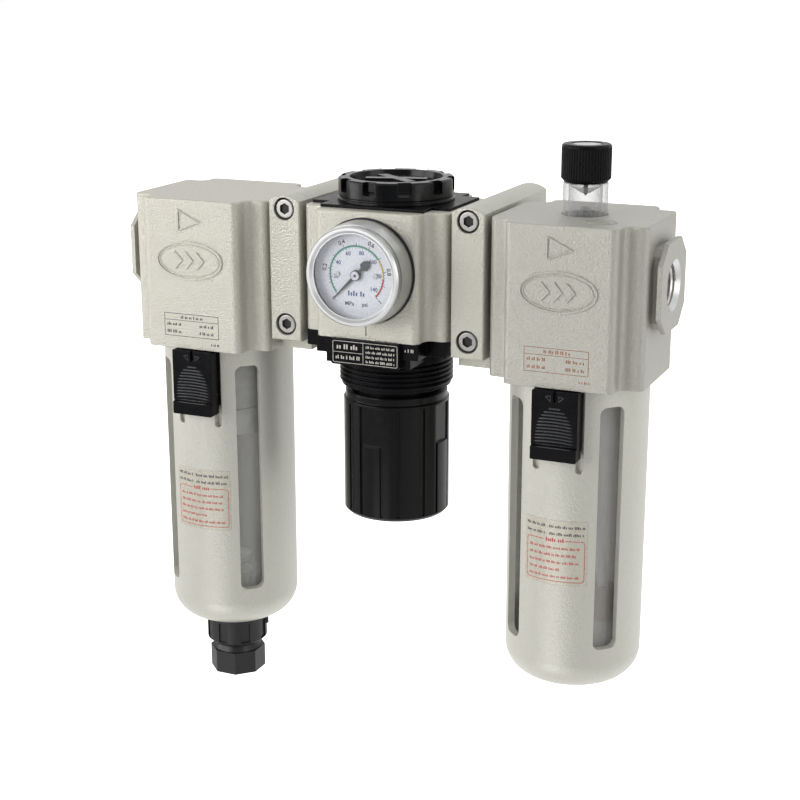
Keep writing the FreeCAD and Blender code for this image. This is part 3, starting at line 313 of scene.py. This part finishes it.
def add_light(name, at, towards, size, power, colour=(1, 1, 1)):
    """A soft square light that faces a point."""
    lamp = bpy.data.lights.new(name, "AREA")
    lamp.size = size
    lamp.energy = power
    lamp.color = colour
    light = bpy.data.objects.new(name, lamp)
    light.location = at
    light.rotation_euler = (Vector(towards) - Vector(at)).to_track_quat("-Z", "Y").to_euler()
    bpy.context.scene.collection.objects.link(light)


def make_world():
    """White surround: the camera sees plain white, and the object is lit by a share from each side."""
    world = bpy.data.worlds.new("studio")
    world.use_nodes = True
    bpy.context.scene.world = world
    tree = world.node_tree
    direction = tree.nodes.new("ShaderNodeTexCoord").outputs["Generated"]
    total = None
    for facing, share in SURROUND.items():
        lobe = tree.nodes.new("ShaderNodeVectorMath")
        lobe.operation = "DOT_PRODUCT"
        lobe.inputs[1].default_value = facing
        tree.links.new(direction, lobe.inputs[0])
        level = tree.nodes.new("ShaderNodeMapRange")
        level.inputs["To Max"].default_value = share
        tree.links.new(lobe.outputs["Value"], level.inputs["Value"])
        if total is None:
            total = level.outputs["Result"]
            continue
        add = tree.nodes.new("ShaderNodeMath")
        tree.links.new(total, add.inputs[0])
        tree.links.new(level.outputs["Result"], add.inputs[1])
        total = add.outputs["Value"]
    lit = tree.nodes["Background"]
    lit.inputs["Color"].default_value = (1, 1, 1, 1)
    tree.links.new(total, lit.inputs["Strength"])
    seen = tree.nodes.new("ShaderNodeBackground")
    seen.inputs["Color"].default_value = (1, 1, 1, 1)
    mix = tree.nodes.new("ShaderNodeMixShader")
    tree.links.new(tree.nodes.new("ShaderNodeLightPath").outputs["Is Camera Ray"], mix.inputs["Fac"])
    tree.links.new(lit.outputs["Background"], mix.inputs[1])
    tree.links.new(seen.outputs["Background"], mix.inputs[2])
    tree.links.new(mix.outputs["Shader"], tree.nodes["World Output"].inputs["Surface"])


def make_floor():
    """Pale floor below the hanging unit, which lights nothing itself."""
    low = cad_box[0].z - 0.12
    floor = bpy.data.meshes.new("floor")
    reach, corners = 12.0, 48
    ring = [(reach * math.cos(math.tau * k / corners), reach * math.sin(math.tau * k / corners), low)
            for k in range(corners)]
    floor.from_pydata(ring, [], [list(range(corners))])
    plane = bpy.data.objects.new("floor", floor)
    plane.visible_diffuse = False
    plane.visible_glossy = False
    bpy.context.scene.collection.objects.link(plane)
    pale = Shader("pale_floor", (0.92, 0.92, 0.91), 0.8)
    pale.tint(0.3, 0.01)
    pale.surface.inputs["Emission Color"].default_value = (1, 1, 1, 1)
    pale.surface.inputs["Emission Strength"].default_value = 0.9
    floor.materials.append(pale.material)


def make_studio():
    make_world()
    make_floor()
    heart = (0, REGULATOR.y, -0.07)
    add_light("left_box", (-1.3, -0.55, 0.15), heart, 0.8, 7)
    add_light("front_left_box", (-0.75, -1.2, 0.25), heart, 0.8, 9)
    add_light("right_box", (1.3, -0.35, 0.15), heart, 0.8, 4)
    add_light("low_front_box", (-0.2, -1.1, -0.9), (0, REGULATOR.y, -0.15), 0.8, 3)
    bpy.context.scene.view_settings.view_transform = "Standard"


# ---------------------------------------------------------------- flat shapes, in millimetres


def stroke(points, width, closed=False):
    """A line of some width through 2-D points, as points and faces."""
    count = len(points)
    sides = []
    for i, (u, v) in enumerate(points):
        before = points[i - 1] if closed or i else points[0]
        after = points[(i + 1) % count] if closed or i < count - 1 else points[-1]
        ins = unit(u - before[0], v - before[1])
        outs = unit(after[0] - u, after[1] - v)
        ins, outs = ins or outs, outs or ins
        normal = unit(-(ins[1] + outs[1]), ins[0] + outs[0])
        spread = width / 2 / max(0.35, normal[0] * -ins[1] + normal[1] * ins[0])
        sides.append(((u + normal[0] * spread, v + normal[1] * spread),
                      (u - normal[0] * spread, v - normal[1] * spread)))
    verts = [p for pair in sides for p in pair]
    faces = [(2 * i, 2 * i + 1, 2 * ((i + 1) % count) + 1, 2 * ((i + 1) % count))
             for i in range(count if closed else count - 1)]
    return verts, faces


def unit(u, v):
    long = math.hypot(u, v)
    return (u / long, v / long) if long > 1e-9 else None


def bar(u0, v0, u1, v1):
    return [(u0, v0), (u1, v0), (u1, v1), (u0, v1)], [(0, 1, 2, 3)]


def rounded(u0, v0, u1, v1, radius, steps=5):
    """Corner points of a rounded rectangle."""
    corners = ((u1 - radius, v0 + radius, -90), (u1 - radius, v1 - radius, 0),
               (u0 + radius, v1 - radius, 90), (u0 + radius, v0 + radius, 180))
    return [(u + radius * math.cos(math.radians(a + 90 * k / steps)),
             v + radius * math.sin(math.radians(a + 90 * k / steps)))
            for u, v, a in corners for k in range(steps + 1)]


def ellipse(u, v, half_u, half_v, steps=72):
    return [(u + half_u * math.cos(math.tau * k / steps), v + half_v * math.sin(math.tau * k / steps))
            for k in range(steps)]


def dashes(u0, u1, v, height, longest=3.4):
    """A row of small upright strokes, grouped like words, in place of a line of lettering."""
    made, at = [], u0
    step = height * 0.55
    while at < u1 - step:
        end = min(u1, at + random.uniform(0.5, 1.0) * longest)
        while at + step * 0.6 < end:
            tall = height * random.choice((0.7, 1.0))
            made.append(bar(at, v - height / 2, at + step * 0.62, v - height / 2 + tall))
            at += step
        at += step * 0.8
    return made


def finely(shape, step):
    """Cuts a shape's quads across u, so that they can follow a curved face."""
    verts, faces = shape
    made_verts, made_faces = [], []
    for face in faces:
        a, b, c, d = (verts[i] for i in face)
        count = max(1, math.ceil(max(abs(b[0] - a[0]), abs(c[0] - d[0])) / step))
        first = len(made_verts)
        for k in range(count + 1):
            t = k / count
            made_verts += [(a[0] + (b[0] - a[0]) * t, a[1] + (b[1] - a[1]) * t),
                           (d[0] + (c[0] - d[0]) * t, d[1] + (c[1] - d[1]) * t)]
        made_faces += [(first + 2 * k, first + 2 * k + 2, first + 2 * k + 3, first + 2 * k + 1)
                       for k in range(count)]
    return made_verts, made_faces


# ---------------------------------------------------------------- solid pieces


def piece(name, verts, faces, material, body, slot=None, smooth=False):
    """A mesh that rides on a body. Points are in metres, in the row frame."""
    mesh = bpy.data.meshes.new(name)
    mesh.from_pydata([tuple(v) for v in verts], [], faces)
    mesh.validate()
    mesh.update()
    mesh.materials.append(MATERIALS[material])
    thing = bpy.data.objects.new(name, mesh)
    bpy.context.scene.collection.objects.link(thing)
    if smooth:
        mesh.shade_smooth()
        mesh.set_sharp_from_angle(angle=math.radians(35))
    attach(thing, body)
    return thing


def prism(shapes, place, low, high):
    """Thickens 2-D shapes between two heights; `place` maps (u, v, height) in mm to the row frame."""
    verts, faces = [], []
    for flat, fills in shapes:
        first, count = len(verts), len(flat)
        verts += [place(u, v, low) for u, v in flat] + [place(u, v, high) for u, v in flat]
        edges = {}
        for fill in fills:
            faces.append([first + count + i for i in fill])
            faces.append([first + i for i in reversed(fill)])
            for a, b in zip(fill, fill[1:] + fill[:1]):
                edges[(a, b)] = edges.get((a, b), 0) + 1
        for a, b in edges:
            if (b, a) not in edges:
                faces.append([first + a, first + b, first + count + b, first + count + a])
    return verts, faces


def on_front(x, z, face):
    """Places shapes on a face that looks towards -Y: u runs along +X and v along +Z."""
    return lambda u, v, h: Vector((x + u * MM, face - h * MM, z + v * MM))


def on_top(x, y, top):
    """Places shapes on a face that looks up: u runs along +X and v along +Y."""
    return lambda u, v, h: Vector((x + u * MM, y + v * MM, top + h * MM))


def on_drum(x, y, radius):
    """Wraps shapes round an upright cylinder: u runs round its front and v is the height in the row."""
    def place(u, v, h):
        turn = u * MM / radius
        reach = radius + h * MM
        return Vector((x + reach * math.sin(turn), y - reach * math.cos(turn), v * MM))
    return place


def raise_on(name, shapes, place, low, high, material, body="fixed_row", slot=None):
    shapes = [(list(v), [tuple(f) for f in fs]) for v, fs in shapes]
    return piece(name, *prism(shapes, place, low, high), material, body, slot)


def print_on(name, shapes, place, material):
    """Ink on a fixed face, just thick enough to stand clear of it."""
    return raise_on(name, shapes, place, -0.02, 0.03, material)


# ---------------------------------------------------------------- swept pieces


def rods(name, paths, radius, material, body, slot=None, sides=10):
    """Round rods with tapered ends along 3-D paths, all in one mesh."""
    verts, faces = [], []
    for path in paths:
        first = len(verts)
        for i, at in enumerate(path):
            ahead = path[min(i + 1, len(path) - 1)] - path[max(i - 1, 0)]
            ahead.normalize()
            across = ahead.cross(Vector((0, 1, 0)) if abs(ahead.y) < 0.9 else Vector((0, 0, 1))).normalized()
            over = ahead.cross(across)
            reach = radius * (0.35 if i in (0, len(path) - 1) else 1.0)
            for k in range(sides):
                turn = math.tau * k / sides
                verts.append(at + across * (reach * math.cos(turn)) + over * (reach * math.sin(turn)))
        last = first + (len(path) - 1) * sides
        faces += [(first + i * sides + k, first + i * sides + (k + 1) % sides,
                   first + (i + 1) * sides + (k + 1) % sides, first + (i + 1) * sides + k)
                  for i in range(len(path) - 1) for k in range(sides)]
        faces += [tuple(first + k for k in reversed(range(sides))), tuple(last + k for k in range(sides))]
    return piece(name, verts, faces, material, body, slot, smooth=True)


def thread_ridge(name, mouth_x, inward, y, z, root, depth, pitch, turns, material, slot):
    """A V-shaped ridge that winds into a port along X, on the inside of its wall."""
    steps = 40
    verts, faces = [], []
    for i in range(turns * steps + 1):
        turn = math.tau * i / steps
        fade = min(1.0, i / steps, (turns * steps - i) / steps)
        at = mouth_x + inward * pitch * i / steps
        for shift, reach in ((-0.46, 0.0), (0.0, depth * fade), (0.46, 0.0)):
            r = root - reach
            along = at + inward * pitch * shift
            verts.append(Vector((along, y + r * math.cos(turn), z + r * math.sin(turn))))
        r = root + 0.1 * MM
        verts.append(Vector((at, y + r * math.cos(turn), z + r * math.sin(turn))))
    for i in range(turns * steps):
        a, b = 4 * i, 4 * (i + 1)
        faces += [(a + k, a + (k + 1) % 4, b + (k + 1) % 4, b + k) for k in range(4)]
    last = 4 * turns * steps
    faces += [(3, 2, 1, 0), (last, last + 1, last + 2, last + 3)]
    return piece(name, verts, faces, material, "fixed_row", slot, smooth=True)


# ---------------------------------------------------------------- cast and printed marks


def cast_marks(side, centre, material, slot):
    """Flow triangle, oval rim and three chevrons, cast on a module's front."""
    place = on_front(centre.x, 0, PAD_FACE)
    triangle = stroke([(-5.0, 20.8), (-5.0, 12.4), (4.8, 16.2)], 0.55, closed=True)
    rim = stroke(ellipse(-0.3, -0.1, 15.2, 7.75), 0.75, closed=True)
    inner = stroke(ellipse(-0.3, -0.1, 13.9, 6.5), 0.3, closed=True)
    chevrons = [stroke([(u, 3.4), (u + 3.2, -0.1), (u, -3.6)], 0.9) for u in (-7.3, -2.2, 2.9)]
    raise_on(side + "_flow_triangle", [triangle], place, -0.2, 0.5, material, slot=slot)
    raise_on(side + "_cast_oval", [rim], place, -0.2, 0.45, material, slot=slot)
    raise_on(side + "_cast_oval_inner", [inner], place, -0.2, 0.2, material, slot=slot)
    raise_on(side + "_cast_chevrons", chevrons, place, -0.2, 0.45, material, slot=slot)


def rating_print(side, centre, foot, material):
    """Printed frame under the oval: a heading and two rows, with short bars for the lettering."""
    place = on_front(centre.x, 0, PAD_FACE)
    left, right, top, divide = -13.3, 12.4, foot + 9.6, foot + 6.8
    lines = [stroke([(left, foot), (right, foot), (right, top), (left, top)], 0.22, closed=True),
             bar(left, divide - 0.1, right, divide + 0.1)]
    text = dashes(-5.5, 5.5, (top + divide) / 2, 1.3, 2.2)
    for row in (foot + 5.0, foot + 1.9):
        text += dashes(left + 1.2, -4.5, row, 1.3, 2.4) + dashes(3.5, right - 1.2, row, 1.3, 2.0)
    text += dashes(8.8, 13.8, foot - 2.6, 1.1, 1.6)
    print_on(side + "_rating_print", lines + text, place, material)


def caution_label(side, centre, body):
    """Label round the front of a guard: two dark rows, then a red frame of red rows under a heading."""
    place = on_drum(centre.x, centre.y, GUARD_RADIUS)
    film = finely(bar(-13.2, -118.6, 13.2, -91.6), 1.0)
    raise_on(side + "_label_film", [film], place, -0.02, 0.06, "label_film", body, "guard_paint")
    dark = []
    for row, reach in ((-94.3, 12.3), (-97.3, 12.0)):
        dark += dashes(-12.3, -3.5, row, 1.15, 3.0) + dashes(-2.2, reach, row, 1.15, 3.4)
    raise_on(side + "_label_dark_rows", [finely(d, 1.0) for d in dark], place, 0.02, 0.09, "dark_ink", body)
    corner = 1.4
    frame_line = rounded(-12.2, -117.2, 12.2, -100.0, corner)
    start = next(i for i, (u, v) in enumerate(frame_line) if u < 0 and abs(v + 100.0) < 1e-6)
    ordered = [(-4.4, -100.0)] + frame_line[start:] + frame_line[:start] + [(4.4, -100.0)]
    red = [finely(segment, 1.0) for segment in split_line(ordered, 0.26)]
    red += [finely(d, 1.0) for d in dashes(-3.6, 3.8, -99.9, 1.6, 7.4)]
    for row, reach in ((-103.2, 10.9), (-106.2, 9.8), (-109.2, 10.6), (-112.2, 2.4), (-115.2, 10.9)):
        red += [finely(d, 1.0) for d in dashes(-10.9, reach, row, 1.05, 2.8)]
    raise_on(side + "_label_red_rows", red, place, 0.02, 0.09, "red_ink", body)


def split_line(points, width, longest=1.0):
    """A line's stroke, with its long runs cut into short ones."""
    fine = [points[0]]
    for u, v in points[1:]:
        u0, v0 = fine[-1]
        count = max(1, math.ceil(math.hypot(u - u0, v - v0) / longest))
        fine += [(u0 + (u - u0) * k / count, v0 + (v - v0) * k / count) for k in range(1, count + 1)]
    return [stroke(fine, width)]


def latch_relief(side, centre):
    """Curved thumb ribs under an arch, thin rods of painted highlight along the ledge's edge and crest, and a
    small mark each side of the notch, all in a black lighter than the latch's own as painted highlight.
    """
    low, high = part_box(side + "_latch")
    face = low.y + 0.9 * MM
    ribs = []
    for z, half in zip((-45.7, -47.1, -48.4, -49.7, -51.0, -52.3, -53.6, -54.9, -56.2, -57.5, -58.8),
                       (2.4, 4.3, 5.4, 6.2, 6.8, 7.2, 7.4, 7.6, 7.7, 7.8, 7.8)):
        steps = 14
        path = []
        for k in range(steps + 1):
            u = half * (2 * k / steps - 1)
            path.append(Vector((centre.x + u * MM, face + 0.05 * MM, (z + 0.45 * (1 - (u / 8.0) ** 2)) * MM)))
        ribs.append(path)
    # real ribs, in the lighter black as painted highlight
    rods(side + "_latch_ribs", ribs, 0.40 * MM, "worn_black", side + "_latch", "black_plastic")
    # painted highlight: thin rods along the ledge's front edge and its crest, standing in for the glints on
    # those edges
    ledge = [Vector((centre.x + u * MM, low.y + 0.12 * MM, -60.72 * MM)) for u in (-8.9, -4, 0, 4, 8.9)]
    crest = [Vector((centre.x + u * MM, face + 0.12 * MM, -59.85 * MM)) for u in (-8.9, -4, 0, 4, 8.9)]
    rods(side + "_latch_ledge_lines", [ledge, crest], 0.22 * MM, "worn_black", side + "_latch",
         "black_plastic")
    marks = [stroke([(1.7 * s, -42.4), (3.6 * s, -40.6), (1.7 * s, -40.2)], 0.35, closed=True)
             for s in (-1, 1)]
    raise_on(side + "_latch_marks", marks, on_front(centre.x, 0, face), -0.1, 0.15, "worn_black",
             side + "_latch", "black_plastic")


def bonnet_print():
    """Framed print on the bonnet's raised label boss, in two columns."""
    place = on_front(REGULATOR.x, 0, BONNET_FACE)
    lines = [stroke(rounded(-14.1, -36.0, 14.1, -27.2, 0.5, 2), 0.22, closed=True),
             bar(-0.9, -36.0, -0.7, -27.2), bar(-14.1, -31.8, -0.8, -31.6)]
    text = dashes(-12.4, -2.4, -29.4, 2.0, 3.4) + dashes(-12.9, -1.9, -33.8, 1.5, 2.4)
    for row in (-28.8, -30.8, -32.8, -34.7):
        text += dashes(0.4, 13.2, row, 1.0, 2.6)
    print_on("bonnet_print", lines + text, place, "light_ink")
    side_face = PAD_FACE + 0.6 * MM
    print_on("bonnet_side_print", dashes(16.6, 21.2, -29.0, 1.3, 1.5),
             on_front(REGULATOR.x, 0, side_face), "light_ink")
    raise_on("regulator_front_mark", [stroke([(0, -20.6), (0, -24.4)], 0.4)],
             on_front(REGULATOR.x, 0, PAD_FACE), -0.02, 0.04, "dark_ink")


def top_mark():
    """Small cast oval on the lubricator's top, in front of the dome."""
    place = on_top(LUBRICATOR.x, LUBRICATOR.y, BODY_TOP)
    rim = stroke(ellipse(11.5, -17.0, 6.3, 4.6, 48), 0.5, closed=True)
    bars = [bar(8.0, -18.2, 15.0, -17.4), bar(8.8, -16.4, 14.2, -15.6)]
    raise_on("lubricator_top_oval", [rim] + bars, place, -0.1, 0.22, "cool_paint", slot="body_paint_cool")


# ---------------------------------------------------------------- metal details


def ring_faces(count):
    """Faces between two rings of points that follow each other in a list."""
    return [(k, (k + 1) % count, count + (k + 1) % count, count + k) for k in range(count)]


def clamp_screw_details(side):
    """Painted shade in the screw recesses: near-black rings deep round the heads, and near-black discs in the
    hexagon sockets, standing in for the shade there.
    """
    low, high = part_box(side + "_clamp_screws")
    head, recess, socket = 3.9, 4.6, 2.2
    place = on_front((low.x + high.x) / 2, 0, low.y)
    recess_shade_rings, shade_discs = [], []
    for v in (high.z / MM - head, low.z / MM + head):
        outer = ellipse(0, v, recess, recess, 48)
        inner = ellipse(0, v, head + 0.03, head + 0.03, 48)
        recess_shade_rings.append((outer + inner, ring_faces(48)))
        shade_discs.append((ellipse(0, v, socket, socket, 6), [tuple(range(6))]))
    # painted shade: dark rings round the heads and dark discs in the sockets
    raise_on(side + "_clamp_recess_shade_rings", recess_shade_rings, place, -2.4, -0.9, "recess_dark", slot="black_plastic")
    raise_on(side + "_clamp_socket_shade_discs", shade_discs, place, -2.15, -1.0, "socket_dark", slot="steel")


def mouth_ring(side, face_x, inward):
    """Machined chamfer round a port's mouth."""
    outer, root, count = PORT_MOUTH, PORT_ROOT, 72
    rows = ((0.02, outer + 0.02 * MM), (0.02, outer - 0.1 * MM),
            (1.85, root - 0.02 * MM), (1.85, root + 0.05 * MM))
    verts = [Vector((face_x + inward * (depth * MM - 0.06 * MM),
                     FILTER.y + r * math.cos(math.tau * k / count), r * math.sin(math.tau * k / count)))
             for depth, r in rows for k in range(count)]
    faces = [(row * count + k, row * count + (k + 1) % count, (row + 1) % 4 * count + (k + 1) % count,
              (row + 1) % 4 * count + k) for row in range(4) for k in range(count)]
    piece(side + "_mouth_ring", verts, faces, "silver", "fixed_row", "steel", smooth=True)


# ---------------------------------------------------------------- springs


def squashed_spring(node, body):
    """A copy of a spring's mesh that rides on a body; it stands for the CAD node, which is hidden."""
    held = frame["nodes"][node]
    stand_in = bpy.data.objects.new(node + "_coil", held.data.copy())
    bpy.context.scene.collection.objects.link(stand_in)
    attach(stand_in, body)
    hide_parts(node)
    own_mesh(stand_in)


# ---------------------------------------------------------------- the gauge's dial


def at_angle(radius, degrees):
    return radius * math.cos(math.radians(degrees)), radius * math.sin(math.radians(degrees))


def ticks(angles, inner, outer, width):
    return [stroke([at_angle(inner, a), at_angle(outer, a)], width) for a in angles]


def scale_band(start, end, radius, width):
    steps = max(2, int(abs(end - start) / 4))
    return stroke([at_angle(radius, start + (end - start) * k / steps) for k in range(steps + 1)], width)


def lettering(name, words, place, size, material, body):
    """Flat numbers and units from Blender's own font, in one mesh: words are (text, u, v, turn)."""
    verts, faces = [], []
    for text, u, v, turn in words:
        curve = bpy.data.curves.new("number", "FONT")
        curve.body = text
        curve.size = size
        curve.resolution_u = 3
        curve.offset = size * 0.022
        curve.align_x, curve.align_y = "CENTER", "CENTER"
        holder = bpy.data.objects.new("number", curve)
        bpy.context.scene.collection.objects.link(holder)
        bpy.context.view_layer.update()
        flat = bpy.data.meshes.new_from_object(holder.evaluated_get(bpy.context.evaluated_depsgraph_get()))
        first = len(verts)
        c, s = math.cos(math.radians(turn)), math.sin(math.radians(turn))
        verts += [place(u + c * p.co.x - s * p.co.y, v + s * p.co.x + c * p.co.y, INK_TOP)
                  for p in flat.vertices]
        faces += [tuple(first + i for i in f.vertices) for f in flat.polygons]
        bpy.data.objects.remove(holder)
        bpy.data.curves.remove(curve)
        bpy.data.meshes.remove(flat)
    return piece(name, verts, faces, material, body)


def dial_print():
    """Two scales, three coloured bands, numbers and units; radii and heights in millimetres."""
    place = on_front(GAUGE.x, GAUGE.z, DIAL_FACE)
    zero, sweep, top_psi = 225.0, 270.0, 145.0
    outer_ring, inner_ring, band = 11.7, 11.0, 11.35

    def mpa(value):
        return zero - sweep * value

    def psi(value):
        return zero - sweep * value / top_psi

    minor = ticks([mpa(k / 50) for k in range(51)], outer_ring, outer_ring + 0.6, 0.12)
    major = ticks([mpa(k / 10) for k in range(11)], outer_ring, outer_ring + 1.0, 0.26)
    rim = [scale_band(mpa(0), mpa(1), outer_ring, 0.14)]
    print_on("dial_outer_ticks", minor + major + rim, place, "dark_ink")
    minor = ticks([psi(k * 4) for k in range(37)], inner_ring - 0.6, inner_ring, 0.12)
    major = ticks([psi(k * 20) for k in range(8)], inner_ring - 0.6, inner_ring, 0.22)
    print_on("dial_inner_ticks", minor + major, place, "blue_ink")
    for name, start, end, material in (("green", 0.02, 0.7, "green_ink"), ("yellow", 0.7, 0.85, "yellow_ink"),
                                       ("red", 0.85, 1, "scale_red_ink")):
        print_on(f"dial_{name}_band", [scale_band(mpa(start), mpa(end), band, 0.6)], place, material)
    outer = [(f"{k / 5:g}", *at_angle(13.9, mpa(k / 5)), mpa(k / 5) - 90) for k in range(6)]
    lettering("dial_outer_numbers", outer, place, 2.4, "dark_ink", "fixed_row")
    inner = [(str(k * 20), *at_angle(9.0, psi(k * 20)), 0) for k in range(1, 8)]
    lettering("dial_inner_numbers", inner, place, 2.2, "blue_ink", "fixed_row")
    units = [("MPa", -3.2, -11.6, 0), ("psi", 3.4, -11.6, 0)]
    lettering("dial_units", units, place, 2.3, "grey_ink", "fixed_row")
    print_on("dial_blue_row", dashes(-3.8, 5.6, -7.4, 2.0, 4.2), place, "blue_ink")


def needle_cap():
    """Bright cap with a dark centre on the needle's hub."""
    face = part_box("gauge_needle")[0].y
    place = on_front(GAUGE.x, GAUGE.z, face)
    ring = (ellipse(0, 0, 1.75, 1.75, 24) + ellipse(0, 0, 0.6, 0.6, 24), ring_faces(24))
    raise_on("needle_cap", [ring], place, -0.05, 0.12, "silver", "gauge_needle", "gauge_metal")


# ---------------------------------------------------------------- the scene

paint_nodes()
make_camera()
make_studio()
cast_marks("filter", FILTER, "champagne_paint", "body_paint")
cast_marks("lubricator", LUBRICATOR, "cool_paint", "body_paint_cool")
rating_print("filter", FILTER, -32.6, "dark_ink")
rating_print("lubricator", LUBRICATOR, -31.6, "brown_ink")
for side, centre in (("filter", FILTER), ("lubricator", LUBRICATOR)):
    caution_label(side, centre, side + "_bowl_unit")
    latch_relief(side, centre)
bonnet_print()
top_mark()
dial_print()
needle_cap()
for side, face_x, inward in (("inlet", cad_box[0].x, 1), ("outlet", cad_box[1].x, -1)):
    mouth_ring(side, face_x, inward)
    thread_ridge(side + "_thread", face_x + inward * 1.9 * MM, inward, FILTER.y, 0.0, PORT_ROOT,
                 depth=0.72 * MM, pitch=1.337 * MM, turns=8, material="steel", slot="steel")
for side in ("left", "right"):
    clamp_screw_details(side)
for side in ("filter", "lubricator"):
    squashed_spring(side + "_latch_spring", side + "_bowl_unit")
squashed_spring("regulator_main_spring", "fixed_row")
squashed_spring("regulator_valve_spring", "fixed_row")
